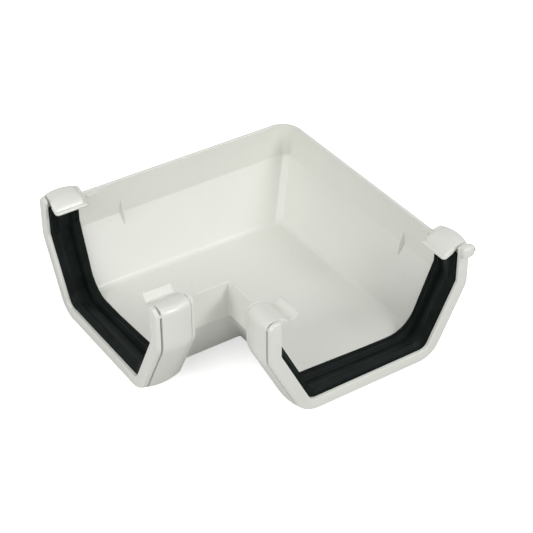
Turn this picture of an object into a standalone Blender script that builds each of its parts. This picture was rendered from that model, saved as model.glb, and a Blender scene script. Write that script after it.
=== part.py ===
"""Ninety-degree angle for square-line rainwater gutter, with a sealed socket at each end."""

import math

import bmesh
import bpy
from mathutils import Vector

MM = 0.001

# The channel, seen along a leg: half widths from its centre line, depths down from its rims.
CHANNEL_HALF = 56.6
CHANNEL_FOLD = 21.6
CHANNEL_FOOT = 38.95
CHANNEL_DEEP = 55.7
CHANNEL_FOLD_R = 1.0
CHANNEL_FOOT_R = 4.5
WALL = 1.85
RIM_R = 0.4

# The channel's corners, seen from above, measured on the inside of the trough.
OUTER_RIM_R = 10.6
FACET = 3.6
FACET_R = 1.5
INNER_CORNER_R = 5.0

# The socket bore, as steps out from the channel.
BORE_SIDE = 0.4
BORE_FOLD_RISE = 2.0
BORE_FOOT_IN = 0.85
BORE_DROP = 2.0
BORE_FOLD_R = 2.0
BORE_FOOT_R = 6.0

# The flanges' rim at the mouth, as steps out from the bore, and the barrel swell of the socket.
FLANGE_SIDE = 6.35
FLANGE_FOLD_DROP = 3.2
FLANGE_FOOT_OUT = 4.4
FLANGE_DROP = 6.65
FLANGE_R = 14.0
BULGE = 2.0

# The top edges of flanges and hoods: the side towards the inner corner, then the outer side.
INNER_CREST = 2.3
INNER_CREST_R = 4.2
OUTER_CREST = 2.4
OUTER_CREST_R = 2.8
OUTER_CREST_FALL = 0.6
CREST_RISE = 1.4

# Lengths along a leg, from the crossing of the two centre lines.
MOUTH = 105.64
FRONT_FLANGE = 2.5
STRAP_GAP = 0.8
STRAP_LONG = 17.15
REAR_GAP = 0.5
REAR_FLANGE = 2.4
LIP_LONG = 2.1
RECESS_LONG = 16.8
DRAFT = 0.15

# The sleeve that the strap wraps.
SLEEVE_WALL = 3.2
SLEEVE_TOP = -0.8
RECESS = 1.0

# The strap and its hooked hoods.
STRAP_CLEAR = 0.3
CREST_IN = 0.2
KNEE_IN = 3.1
KNEE_DROP = 1.0
NOSE_IN = 8.3
NOSE_DROP = 2.0
NOSE_R = 1.0
BEAD_R = 0.9
BEAD_PAST = 1.9
TAB_LONG = 5.5
TAB_TILT = 54.0
TAB_THICK = 1.2
TAB_INSET = 0.85

# The seal: a front pad, a groove and a rear rib, with heights above the bore.
SEAL_CLEAR = 0.3
SEAL_DOWN = 1.5
PAD_FRONT = 2.2
PAD_HIGH = 3.8
PAD_LONG = 4.0
GROOVE_AT = 11.4
GROOVE_HIGH = 0.5
RIB_AT = 13.9
RIB_HIGH = 2.4
RIB_BACK = 2.0
SEAL_FRONT_R = 7.0
SEAL_REAR_R = 12.0

# Small moulded details of the angle. The stop ribs and ledges lie behind the socket.
STOP_BEHIND = 23.8
STOP_THICK = 1.3
STOP_TOP = 13.3
STOP_DEEP = 28.6
LEDGE_BEHIND = 2.2
LEDGE_LONG = 6.4
LEDGE_DOWN = 2.8
LEDGE_HIGH = 1.0
LEDGE_PROUD = 0.9
NIB_DOWN = 1.3
NIB_HIGH = 1.4
NIB_DEEP = 2.0
LUG_WIDE = 8.6
LUG_HIGH = 9.5
LUG_FORWARD = 3.6
LUG_OUT = 2.5
LUG_UP = 1.1
LUG_BEVEL = 2.2
ROOT = 0.8

# Steps in each rounded stretch.
FOLD_STEPS = 3
FOOT_STEPS = 6
CREST_STEPS = 5
CORNER_STEPS = 4
NOSE_STEPS = 6
BULGE_STEPS = 9
HOOD_STEPS = 4
BEAD_SIDES = 12

WHITE_PVC = (0.76, 0.77, 0.73, 1.0)
BLACK_RUBBER = (0.012, 0.015, 0.014, 1.0)


class Section:
    """One side of a trough's outline: down its wall, in at the fold, across from the foot."""

    def __init__(self, half, fold, foot, deep, fold_r, foot_r):
        self.half = half
        self.fold = fold
        self.foot = foot
        self.deep = deep
        self.fold_r = fold_r
        self.foot_r = foot_r

    def lean(self):
        """The slope's angle from upright."""
        return math.atan2(self.half - self.foot, self.deep - self.fold)

    def grown(self, by, foot_r=None):
        """The outline moved out, square to itself, on every side."""
        fold = self.fold + by * math.tan(self.lean() / 2)
        foot = self.foot + by * math.tan((math.pi / 2 - self.lean()) / 2)
        fold_r = self.fold_r + max(by, 0.0)
        if foot_r is None:
            foot_r = self.foot_r + max(by, 0.0)
        return Section(self.half + by, fold, foot, self.deep + by, fold_r, foot_r)

    def width_at(self, depth):
        """Half the width at a depth on the slope."""
        return self.half - (depth - self.fold) * math.tan(self.lean())

    def side(self, top):
        """Points from the wall's top, round the fold, to the end of the foot's corner."""
        wall_top = Vector((self.half, top))
        fold = Vector((self.half, -self.fold))
        foot = Vector((self.foot, -self.deep))
        middle = Vector((0.0, -self.deep))
        round_fold = fillet(wall_top, fold, foot, self.fold_r, FOLD_STEPS)
        return round_fold + fillet(fold, foot, middle, self.foot_r, FOOT_STEPS)


def fillet(before, corner, after, radius, steps):
    """Points along the arc that rounds a corner of an outline."""
    to_before = before - corner
    to_after = after - corner
    half_angle = to_before.angle(to_after) / 2
    room = 0.48 * min(to_before.length, to_after.length)
    back = min(radius / math.tan(half_angle), room)
    radius = back * math.tan(half_angle)
    middle = (to_before.normalized() + to_after.normalized()).normalized()
    centre = corner + middle * (radius / math.sin(half_angle))
    start = corner + to_before.normalized() * back - centre
    end = corner + to_after.normalized() * back - centre
    first = math.atan2(start.y, start.x)
    turn = math.remainder(math.atan2(end.y, end.x) - first, 2 * math.pi)
    return arc(centre, radius, first, first + turn, steps)


def arc(centre, radius, first, last, steps):
    angles = [first + (last - first) * k / steps for k in range(steps + 1)]
    return [centre + Vector((math.cos(a), math.sin(a))) * radius for a in angles]


def other_side(points):
    """The same points on the far side of the centre line."""
    return [Vector((-p.x, p.y)) for p in points]


def closed_loop(outer_side, inner_side, inside):
    """A trough wall's outline: the outer faces of its two sides, then its inner face."""
    return outer_side + other_side(inner_side)[::-1] + other_side(inside) + inside[::-1]


def crest_points(section, crest, crest_r):
    """The rounded edge between a wall's top and its outer face."""
    centre = Vector((section.half - crest_r, crest - crest_r))
    return arc(centre, crest_r, math.pi / 2, 0.0, CREST_STEPS)


def wall_side(outer, inner, crest, crest_r, fall=0.0):
    """One side's outer face, from the inner edge of its top to the floor."""
    top = [Vector((inner.half, crest - fall))]
    return top + crest_points(outer, crest, crest_r) + outer.side(crest - crest_r)


def plain_wall(outer, inner, crest):
    """Outline of a trough wall with the same small rounding on both of its rims."""
    side = wall_side(outer, inner, crest, RIM_R)
    return closed_loop(side, side, inner.side(crest))


def flange_wall(s, inner):
    """Outline of a flange at a place along the leg, swollen as the whole socket is there."""
    outer = FLANGE.grown(bulge(s))
    crest = outer_crest(s)
    outer_side = wall_side(outer, inner, crest, OUTER_CREST_R, OUTER_CREST_FALL)
    inner_side = wall_side(outer, inner, INNER_CREST, INNER_CREST_R)
    inside = inner.side(min(crest - OUTER_CREST_FALL, INNER_CREST))
    return closed_loop(outer_side, inner_side, inside)


def swell(s):
    """The barrel curve along a leg: 0 at the mouth and 1 in the middle of the strap."""
    middle = (STRAP_FRONT + STRAP_BACK) / 2
    return 1 - ((s - middle) / (MOUTH - middle)) ** 2


def bulge(s):
    """How far the socket's outer face stands out at a place along the leg."""
    return BULGE * swell(s)


def outer_crest(s):
    """The height of the outer side's top edge at a place along the leg."""
    return OUTER_CREST + CREST_RISE * swell(s)


CHANNEL = Section(CHANNEL_HALF, CHANNEL_FOLD, CHANNEL_FOOT, CHANNEL_DEEP,
                  CHANNEL_FOLD_R, CHANNEL_FOOT_R)
BORE = Section(CHANNEL_HALF + BORE_SIDE, CHANNEL_FOLD - BORE_FOLD_RISE,
               CHANNEL_FOOT - BORE_FOOT_IN, CHANNEL_DEEP + BORE_DROP,
               BORE_FOLD_R, BORE_FOOT_R)
FLANGE = Section(BORE.half + FLANGE_SIDE, BORE.fold + FLANGE_FOLD_DROP,
                 BORE.foot + FLANGE_FOOT_OUT, BORE.deep + FLANGE_DROP,
                 FLANGE_R, FLANGE_R)

STRAP_FRONT = MOUTH - FRONT_FLANGE - STRAP_GAP
STRAP_BACK = STRAP_FRONT - STRAP_LONG
REAR_FRONT = STRAP_BACK - REAR_GAP
SOCKET_BACK = REAR_FRONT - REAR_FLANGE
SEAT_FRONT = MOUTH - LIP_LONG
SEAT_BACK = SEAT_FRONT - RECESS_LONG
STOP_AT = SOCKET_BACK - STOP_BEHIND
LEDGE_FRONT = SOCKET_BACK - LEDGE_BEHIND
HOOD_BASE = SLEEVE_TOP + STRAP_CLEAR
NOSE = Vector((BORE.half - NOSE_IN, HOOD_BASE - NOSE_DROP))


def left_leg(s, d, z):
    """A place s out along the left leg, d to the side of the outer corner, z above the rims."""
    return Vector((-s, d, z)) * MM


def right_leg(s, d, z):
    return Vector((d, -s, z)) * MM


def material(name, colour, roughness):
    made = bpy.data.materials.new(name)
    made.use_nodes = True
    made.diffuse_color = colour
    shader = made.node_tree.nodes["Principled BSDF"]
    shader.inputs["Base Color"].default_value = colour
    shader.inputs["Roughness"].default_value = roughness
    shader.inputs["Metallic"].default_value = 0.0
    return made


def skin(name, rings, finish):
    """A closed object stretched over rings of points that all run round the same way."""
    mesh = bmesh.new()
    rows = [[mesh.verts.new(point) for point in ring] for ring in rings]
    for row, following in zip(rows, rows[1:]):
        for k in range(len(row)):
            mesh.faces.new((row[k - 1], row[k], following[k], following[k - 1]))
    mesh.faces.new(rows[0])
    mesh.faces.new(rows[-1][::-1])
    bmesh.ops.remove_doubles(mesh, verts=mesh.verts, dist=0.001 * MM)
    return finished(name, mesh, finish)


def finished(name, mesh, finish):
    bmesh.ops.recalc_face_normals(mesh, faces=mesh.faces)
    data = bpy.data.meshes.new(name)
    mesh.to_mesh(data)
    mesh.free()
    if finish:
        data.materials.append(finish)
        data.shade_smooth()
        data.set_sharp_from_angle(angle=math.radians(35))
    made = bpy.data.objects.new(name, data)
    bpy.context.collection.objects.link(made)
    return made


def add_prism(mesh, leg, outline, start, end):
    """A straight bar in a bmesh: an outline seen along a leg, carried from start to end."""
    rows = [[mesh.verts.new(leg(s, p.x, p.y)) for p in outline] for s in (start, end)]
    for k in range(len(outline)):
        mesh.faces.new((rows[0][k - 1], rows[0][k], rows[1][k], rows[1][k - 1]))
    mesh.faces.new(rows[0])
    mesh.faces.new(rows[1][::-1])


def box_outline(d_low, d_high, z_low, z_high):
    corners = ((d_low, z_low), (d_high, z_low), (d_high, z_high), (d_low, z_high))
    return [Vector(corner) for corner in corners]


def merge_in(target, name, mesh):
    """Joins the solids of a bmesh to an object, through a hidden guide."""
    guide = finished(name, mesh, None)
    guide.hide_render = True
    guide.display_type = "WIRE"
    union = target.modifiers.new(name, "BOOLEAN")
    union.operation = "UNION"
    union.solver = "EXACT"
    union.object = guide
    return guide


def leg_stations():
    """The wall's outlines along a leg, from its mouth in to the back of the socket."""
    sleeve = BORE.grown(SLEEVE_WALL)
    seat = BORE.grown(RECESS)
    flange_back = MOUTH - FRONT_FLANGE
    sleeve_seat = plain_wall(sleeve, seat, SLEEVE_TOP)
    sleeve_end = plain_wall(sleeve, CHANNEL, SLEEVE_TOP)
    return [
        (MOUTH, flange_wall(MOUTH, BORE)),
        (SEAT_FRONT + DRAFT, flange_wall(SEAT_FRONT + DRAFT, BORE)),
        (SEAT_FRONT, flange_wall(SEAT_FRONT, seat)),
        (flange_back, flange_wall(flange_back, seat)),
        (flange_back - DRAFT, sleeve_seat),
        (SEAT_BACK, sleeve_seat),
        (SEAT_BACK - DRAFT, sleeve_end),
        (REAR_FRONT + DRAFT, sleeve_end),
        (REAR_FRONT, flange_wall(REAR_FRONT, CHANNEL)),
        (SOCKET_BACK, flange_wall(SOCKET_BACK, CHANNEL)),
        (SOCKET_BACK - DRAFT, plain_wall(CHANNEL.grown(WALL), CHANNEL, 0.0)),
    ]


def corner_path(d, z, outside):
    """Where a line of the channel turns the corner, as points from the left leg to the right."""
    radius = INNER_CORNER_R - (WALL if outside else 0.0)
    flat = 0.0
    if d > 0:
        low = min(max(-z / CHANNEL.fold, 0.0), 1.0)
        radius = OUTER_RIM_R + (FACET_R - OUTER_RIM_R) * low + (WALL if outside else 0.0)
        flat = FACET * low
    reach = radius + flat * math.sqrt(0.5)
    first = Vector((d - reach, d - radius))
    second = Vector((d - radius, d - reach))
    points = arc(first, radius, math.pi / 2, math.pi / 4, CORNER_STEPS)
    points += arc(second, radius, math.pi / 4, 0.0, CORNER_STEPS)
    return [Vector((p.x, p.y, z)) * MM for p in points]


def angle_rings():
    """Every ring of the trough, from the left mouth round the corner to the right mouth."""
    stations = leg_stations()
    channel = stations[-1][1]
    outer_count = 2 * (1 + CREST_STEPS + 1 + FOLD_STEPS + 1 + FOOT_STEPS + 1)
    lines = [corner_path(p.x, p.y, k < outer_count) for k, p in enumerate(channel)]
    left = [[left_leg(s, p.x, p.y) for p in loop] for s, loop in stations]
    right = [[right_leg(s, p.x, p.y) for p in loop] for s, loop in stations[::-1]]
    return left + [list(ring) for ring in zip(*lines)] + right


def make_details(mesh):
    """The angle's stop ribs, ledges and nibs in both legs, and the lug on the right socket."""
    inside = CHANNEL.half + ROOT
    stop = [Vector((CHANNEL.half, -STOP_TOP)), Vector((inside, -STOP_TOP)),
            Vector((inside, -CHANNEL.fold)),
            Vector((CHANNEL.width_at(STOP_DEEP) + ROOT, -STOP_DEEP)),
            Vector((CHANNEL.width_at(STOP_DEEP), -STOP_DEEP))]
    ledge = box_outline(CHANNEL.half - LEDGE_PROUD, inside,
                        -LEDGE_DOWN - LEDGE_HIGH / 2, -LEDGE_DOWN + LEDGE_HIGH / 2)
    nib = box_outline(-FLANGE.half, -FLANGE.half + NIB_DEEP,
                      -NIB_DOWN - NIB_HIGH / 2, -NIB_DOWN + NIB_HIGH / 2)
    flange_back = MOUTH - FRONT_FLANGE
    for leg in (left_leg, right_leg):
        add_prism(mesh, leg, stop, STOP_AT - STOP_THICK / 2, STOP_AT + STOP_THICK / 2)
        add_prism(mesh, leg, ledge, LEDGE_FRONT - LEDGE_LONG, LEDGE_FRONT)
        add_prism(mesh, leg, nib, flange_back - STRAP_GAP + STRAP_CLEAR, flange_back + ROOT)


def make_lug(mesh):
    """The rounded lug at the outer top of the right socket's mouth."""
    out = FLANGE.half + LUG_OUT
    up = OUTER_CREST + LUG_UP
    lug = box_outline(out - LUG_WIDE, out, up - LUG_HIGH, up)
    add_prism(mesh, right_leg, lug, MOUTH - FRONT_FLANGE + ROOT, MOUTH + LUG_FORWARD)
    edges = [e for e in mesh.edges if min(v.co.y for v in e.verts) < -MOUTH * MM]
    bmesh.ops.bevel(mesh, geom=edges, offset=LUG_BEVEL * MM, segments=3, profile=0.5,
                    affect="EDGES")


def make_angle(finish):
    body = skin("angle_body", angle_rings(), finish)
    details = bmesh.new()
    make_details(details)
    lug = bmesh.new()
    make_lug(lug)
    return [body, merge_in(body, "details_guide", details), merge_in(body, "lug_guide", lug)]


def hood_side(outer, crest, crest_r, fall):
    """A strap's outer face on one side, from the sleeve's top round the hooked hood and down."""
    clear = BORE.grown(SLEEVE_WALL + STRAP_CLEAR)
    points = [Vector((clear.half, HOOD_BASE)), Vector((BORE.half, HOOD_BASE)),
              Vector((BORE.half - KNEE_IN, HOOD_BASE - KNEE_DROP))]
    points += arc(NOSE, NOSE_R, math.radians(-70), math.radians(-245), NOSE_STEPS)
    start = points[-1]
    end = Vector((BORE.half + CREST_IN, crest - fall))
    plain = min(crest, INNER_CREST) - fall
    for k in range(1, HOOD_STEPS + 1):
        share = k / HOOD_STEPS
        lift = (crest - fall - plain) * (1 - (1 - share) ** 2)
        points.append(Vector((start.x + (end.x - start.x) * share,
                              start.y + (plain - start.y) * share + lift)))
    return points + crest_points(outer, crest, crest_r) + outer.side(crest - crest_r)


def strap_rings(leg):
    inside = BORE.grown(SLEEVE_WALL + STRAP_CLEAR).side(HOOD_BASE)
    rings = []
    for k in range(BULGE_STEPS + 1):
        s = STRAP_FRONT - STRAP_LONG * k / BULGE_STEPS
        outer = FLANGE.grown(bulge(s))
        outer_hood = hood_side(outer, outer_crest(s), OUTER_CREST_R, OUTER_CREST_FALL)
        inner_hood = hood_side(outer, INNER_CREST, INNER_CREST_R, 0.0)
        loop = closed_loop(outer_hood, inner_hood, inside)
        rings.append([leg(s, p.x, p.y) for p in loop])
    return rings


def make_strap(name, leg, finish):
    """A strap that wraps the sleeve, with a tab on its inner hood and a bead on its outer one."""
    strap = skin(name, strap_rings(leg), finish)
    rise = math.radians(TAB_TILT)
    along = Vector((-math.cos(rise), math.sin(rise)))
    across = Vector((along.y, -along.x)) * (TAB_THICK / 2)
    root = NOSE - Vector((NOSE_R / 2, NOSE_R / 2))
    tip = root + along * TAB_LONG
    tab = other_side([root - across, root + across, tip + across, tip - across])
    extras = bmesh.new()
    add_prism(extras, leg, tab, STRAP_BACK + TAB_INSET, STRAP_FRONT - TAB_INSET)
    bead = arc(NOSE, BEAD_R, 0.0, 2 * math.pi, BEAD_SIDES)[:-1]
    add_prism(extras, leg, bead, STRAP_BACK - BEAD_PAST, STRAP_BACK + ROOT)
    return [strap, merge_in(strap, name + "_guide", extras)]


def make_seal(name, leg, finish):
    """A rubber seal round the socket, lying in the sleeve's recess."""
    front = SEAT_FRONT - SEAL_CLEAR
    back = SEAT_BACK + SEAL_CLEAR
    profile = (
        (0.0, PAD_FRONT / 2),
        (SEAL_CLEAR, PAD_FRONT),
        (PAD_LONG / 2, PAD_HIGH),
        (PAD_LONG, PAD_HIGH),
        (GROOVE_AT, GROOVE_HIGH),
        (RIB_AT, RIB_HIGH),
        (front - back, RIB_BACK),
    )
    base = BORE.grown(RECESS - SEAL_CLEAR)
    top = SLEEVE_TOP - SEAL_DOWN
    rings = []
    for depth, height in profile:
        share = depth / (front - back)
        foot_r = SEAL_FRONT_R + (SEAL_REAR_R - SEAL_FRONT_R) * share
        face = BORE.grown(-height, foot_r)
        outside = [Vector((base.half, top))] + base.side(top)
        loop = closed_loop(outside, outside, [Vector((face.half, top))] + face.side(top))
        rings.append([leg(front - depth, p.x, p.y) for p in loop])
    return [skin(name, rings, finish)]


def main():
    for old in list(bpy.data.objects):
        bpy.data.objects.remove(old, do_unlink=True)
    base = bpy.data.objects.new("angle_frame", None)
    bpy.context.collection.objects.link(base)
    middle_x = (FLANGE.half + max(LUG_OUT, BULGE) - MOUTH) / 2
    middle_y = (FLANGE.half + BULGE - LUG_FORWARD - MOUTH) / 2
    base.location = Vector((-middle_x, -middle_y, FLANGE.deep + BULGE)) * MM
    pieces = make_angle(material("white_pvc", WHITE_PVC, 0.35))
    pieces += make_strap("strap_left", left_leg, material("strap_left_pvc", WHITE_PVC, 0.35))
    pieces += make_strap("strap_right", right_leg, material("strap_right_pvc", WHITE_PVC, 0.35))
    pieces += make_seal("seal_left", left_leg, material("seal_left_rubber", BLACK_RUBBER, 0.6))
    pieces += make_seal("seal_right", right_leg, material("seal_right_rubber", BLACK_RUBBER, 0.6))
    for piece in pieces:
        piece.parent = base


main()
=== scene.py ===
# %% [markdown]
# # A sealed gutter angle
#
# The object is the corner piece of a square-line rainwater gutter, moulded in white PVC.
# Water runs round the corner in an open trough. Each leg ends in a socket, where a black
# rubber seal lies in a recess and a white strap with two hooked hoods holds the next gutter.
#
# The lesson draws every piece from outlines seen along a leg, and works in millimetres until
# the last moment. The CAD model gives the frame, so each piece lands where the CAD says.

# %% Open the frame
import math

import bmesh
import bpy
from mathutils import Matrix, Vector


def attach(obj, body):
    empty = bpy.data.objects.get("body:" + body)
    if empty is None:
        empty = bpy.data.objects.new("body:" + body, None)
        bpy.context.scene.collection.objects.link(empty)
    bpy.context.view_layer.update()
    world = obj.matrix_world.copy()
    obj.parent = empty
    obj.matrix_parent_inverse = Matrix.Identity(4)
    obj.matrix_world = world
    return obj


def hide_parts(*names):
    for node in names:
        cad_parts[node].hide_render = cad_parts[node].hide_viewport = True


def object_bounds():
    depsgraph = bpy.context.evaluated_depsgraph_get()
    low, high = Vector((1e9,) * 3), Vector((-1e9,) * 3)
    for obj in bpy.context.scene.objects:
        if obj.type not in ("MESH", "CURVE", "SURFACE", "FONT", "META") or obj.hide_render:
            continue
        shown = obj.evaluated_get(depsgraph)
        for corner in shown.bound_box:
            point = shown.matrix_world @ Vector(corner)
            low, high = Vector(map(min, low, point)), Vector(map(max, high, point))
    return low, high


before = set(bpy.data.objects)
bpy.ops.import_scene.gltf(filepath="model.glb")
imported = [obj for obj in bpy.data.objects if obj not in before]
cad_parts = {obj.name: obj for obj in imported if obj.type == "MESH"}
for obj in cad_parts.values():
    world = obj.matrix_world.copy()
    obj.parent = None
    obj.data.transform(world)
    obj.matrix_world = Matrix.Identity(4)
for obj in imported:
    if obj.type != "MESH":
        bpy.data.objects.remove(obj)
CAD_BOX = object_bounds()
LOW = Vector(CAD_BOX[0])
HIGH = Vector(CAD_BOX[1])
MM = 0.001
print("CAD box in mm:", [round(v / MM, 2) for v in HIGH - LOW])

# %% [markdown]
# ## Where things are
#
# A leg has its own rulers: s runs out along the leg from the crossing of the two centre
# lines, d runs sideways and is positive towards the outer corner, and z runs up from the
# trough's rims. The left leg points to -X and the right leg to -Y. The crossing is found
# from the CAD box, so the whole scene follows the CAD model.

# %% The crossing of the two centre lines
MOUTH = 105.64
LUG_FORWARD = 3.6
STRAP_LOW = 66.337
CROSSING = LOW / MM + Vector((MOUTH, MOUTH + LUG_FORWARD, STRAP_LOW))


def left_leg(s, d, z):
    return (CROSSING + Vector((-s, d, z))) * MM


def right_leg(s, d, z):
    return (CROSSING + Vector((d, -s, z))) * MM


LEGS = {"left": left_leg, "right": right_leg}
print("The centre lines cross at", [round(v, 2) for v in CROSSING])

# %% [markdown]
# ## The camera
#
# The photograph looks down at the angle from the front and the left, through a long lens. The
# numbers come from fitting the known edges of the object to the picture, with its tilt of a
# third of a degree. A camera looks along its own -Z, so its place is the target plus a
# distance along its back axis.

# %% Place the camera
YAW, PITCH, ROLL = math.radians(-33.4455), math.radians(36.1548), math.radians(-0.2883)
TARGET = CROSSING + Vector((-4.7069, -12.6117, -40.4432))
DISTANCE = 916.427
LENS, SENSOR_WIDE = 109.245, 36.0
CLIP_NEAR, CLIP_FAR = 0.01, 50.0


def put(name, data):
    """Stands data in the scene as an object at the origin."""
    made = bpy.data.objects.new(name, data)
    bpy.context.collection.objects.link(made)
    return made


flat = math.cos(PITCH)
back = Vector((math.sin(YAW) * flat, -math.cos(YAW) * flat, math.sin(PITCH)))
level = Vector((math.cos(YAW), math.sin(YAW), 0.0))
right = level * math.cos(ROLL) + back.cross(level) * math.sin(ROLL)
up = back.cross(right)

lens = bpy.data.cameras.new("camera")
lens.lens = LENS
lens.sensor_width = SENSOR_WIDE
lens.clip_start = CLIP_NEAR
lens.clip_end = CLIP_FAR
camera = put("camera", lens)
camera.matrix_world = [
    [right.x, right.y, right.z, 0.0],
    [up.x, up.y, up.z, 0.0],
    [back.x, back.y, back.z, 0.0],
    [*((TARGET + back * DISTANCE) * MM), 1.0],
]
bpy.context.scene.camera = camera
print("Camera at", [round(v, 3) for v in camera.matrix_world.translation])

# %% [markdown]
# ## A small language for nodes
#
# Node trees are easier to read as sums than as boxes and wires. One class wraps a socket, and
# Python's own operators add the Math nodes. Any other node comes from one method, which sets
# the node up first and then feeds its sockets. The same two classes serve materials and
# Geometry Nodes, because both kinds of tree share the Math node.


# %% Wires and boards
class Wire:
    """An output socket that takes part in Python arithmetic."""

    def __init__(self, board, socket):
        self.board = board
        self.socket = socket

    def output(self, key):
        return Wire(self.board, self.socket.node.outputs[key])

    def maths(self, operation, *values):
        feeds = dict(enumerate(values))
        return self.board.add("ShaderNodeMath", {"operation": operation}, feeds)

    def __add__(self, other):
        return self.maths("ADD", self, other)

    def __radd__(self, other):
        return self.maths("ADD", other, self)

    def __sub__(self, other):
        return self.maths("SUBTRACT", self, other)

    def __rsub__(self, other):
        return self.maths("SUBTRACT", other, self)

    def __mul__(self, other):
        return self.maths("MULTIPLY", self, other)

    def __rmul__(self, other):
        return self.maths("MULTIPLY", other, self)

    def __truediv__(self, other):
        return self.maths("DIVIDE", self, other)

    def __rtruediv__(self, other):
        return self.maths("DIVIDE", other, self)

    def __neg__(self):
        return self.maths("MULTIPLY", self, -1.0)

    def __abs__(self):
        return self.maths("ABSOLUTE", self)

    def __gt__(self, other):
        return self.maths("GREATER_THAN", self, other)

    def __lt__(self, other):
        return self.maths("LESS_THAN", self, other)

    def between(self, low, high):
        """The value's share of the way from low to high, held to 0 and 1."""
        span = {"interpolation_type": "LINEAR", "clamp": True}
        return self.board.add("ShaderNodeMapRange", span, {0: self, 1: low, 2: high})

    def sine(self):
        return self.maths("SINE", self)

    def cosine(self):
        return self.maths("COSINE", self)


class Board:
    """A node tree, with one way to add any node."""

    def __init__(self, tree):
        self.tree = tree
        tree.nodes.clear()

    def add(self, kind, settings=None, values=None):
        node = self.tree.nodes.new(kind)
        for name, value in (settings or {}).items():
            setattr(node, name, value)
        for key, value in (values or {}).items():
            self.feed(node.inputs[key], value)
        return Wire(self, node.outputs[0]) if node.outputs else node

    def feed(self, socket, value):
        if isinstance(value, Wire):
            self.tree.links.new(value.socket, socket)
        else:
            socket.default_value = value


print("Wires and boards are ready")

# %% [markdown]
# ## White PVC and black rubber
#
# Moulded PVC is nearly smooth. What gives it away is a soft, slightly uneven gloss, a very
# shallow ripple from the mould, and a few specks. The colour stays at a plain pale value and
# only drifts by a few per cent. The rubber is dull, almost black with a hint of green, with a
# fine tooth and a dusty bloom that lightens it in patches.
#
# Both read Object coordinates, so the pattern is fixed to the piece.

# %% White PVC
CLOUD_SCALE, GRAIN_SCALE, RIPPLE_SCALE, SPECK_SCALE = 22.0, 900.0, 60.0, 420.0
SPECK_FROM, SPECK_TO, SPECK_SHARE = 0.745, 0.80, 0.25
WHITE_DEEP, WHITE_PALE = (0.800, 0.808, 0.750, 1.0), (0.835, 0.842, 0.790, 1.0)
SPECK_COLOUR = (0.46, 0.45, 0.40, 1.0)


def new_board(name):
    made = bpy.data.materials.new(name)
    made.use_nodes = True
    return made, Board(made.node_tree)


def noise(board, place, scale, detail=2.0, roughness=0.5):
    values = {"Vector": place, "Scale": scale, "Detail": detail, "Roughness": roughness}
    return board.add("ShaderNodeTexNoise", None, values)


def object_place(board):
    return board.add("ShaderNodeTexCoord").output("Object")


def mix_colour(board, share, first, second):
    settings = {"data_type": "RGBA", "blend_type": "MIX"}
    made = board.add("ShaderNodeMix", settings, {0: share, 6: first, 7: second})
    return made.output(2)


def make_white_pvc():
    made, board = new_board("white_pvc")
    place = object_place(board)
    cloud = noise(board, place, CLOUD_SCALE, 3.0)
    grain = noise(board, place, GRAIN_SCALE)
    ripple = noise(board, place, RIPPLE_SCALE)
    speck = noise(board, place, SPECK_SCALE, 1.0).between(SPECK_FROM, SPECK_TO)
    body = mix_colour(board, cloud, WHITE_DEEP, WHITE_PALE)
    colour = mix_colour(board, speck * SPECK_SHARE, body, SPECK_COLOUR)
    rough = 0.18 + cloud * 0.08 + grain * 0.05
    bump = board.add("ShaderNodeBump", None, {
        "Height": ripple * 0.8 + grain * 0.05, "Strength": 0.12, "Distance": 0.0004})
    shader = board.add("ShaderNodeBsdfPrincipled", None, {
        "Base Color": colour, "Roughness": rough, "Normal": bump, "IOR": 1.52})
    board.add("ShaderNodeOutputMaterial", None, {"Surface": shader})
    return made


WHITE = make_white_pvc()
print("Made", WHITE.name, "with", len(WHITE.node_tree.nodes), "nodes")

# %% Black rubber
BLOOM_SCALE, TOOTH_SCALE = 90.0, 1400.0
BLOOM_FROM, BLOOM_TO = 0.35, 0.75
RUBBER_BLACK, RUBBER_DUSTY = (0.0024, 0.0046, 0.0041, 1.0), (0.0085, 0.0145, 0.0130, 1.0)


def make_black_rubber():
    made, board = new_board("black_rubber")
    place = object_place(board)
    bloom = noise(board, place, BLOOM_SCALE, 4.0, 0.6)
    tooth = noise(board, place, TOOTH_SCALE)
    colour = mix_colour(board, bloom.between(BLOOM_FROM, BLOOM_TO), RUBBER_BLACK, RUBBER_DUSTY)
    rough = 0.36 + bloom * 0.14 + tooth * 0.05
    bump = board.add("ShaderNodeBump", None, {
        "Height": tooth * 0.3 + bloom * 0.7, "Strength": 0.35, "Distance": 0.0003})
    shader = board.add("ShaderNodeBsdfPrincipled", None, {
        "Base Color": colour, "Roughness": rough, "Normal": bump,
        "IOR": 1.48, "Specular IOR Level": 0.09})
    board.add("ShaderNodeOutputMaterial", None, {"Surface": shader})
    return made


RUBBER = make_black_rubber()
print("Made", RUBBER.name, "with", len(RUBBER.node_tree.nodes), "nodes")

# %% [markdown]
# ## The outline of a square-line gutter
#
# Seen along a leg, every wall is the same kind of line: straight down, in at a fold along a
# slope, round a foot and across the floor. A Section holds one side of that line. Moving it
# out by a thickness gives the outside of the wall, and moving it more gives the sleeve, the
# strap and the flanges, so that all of them stay parallel.

# %% Sections and their rounded corners
FOLD_STEPS, FOOT_STEPS, CREST_STEPS = 6, 12, 8
MOST_OF_HALF = 0.48


def arc(centre, radius, first, last, steps):
    angles = [first + (last - first) * k / steps for k in range(steps + 1)]
    return [centre + Vector((math.cos(a), math.sin(a))) * radius for a in angles]


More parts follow.
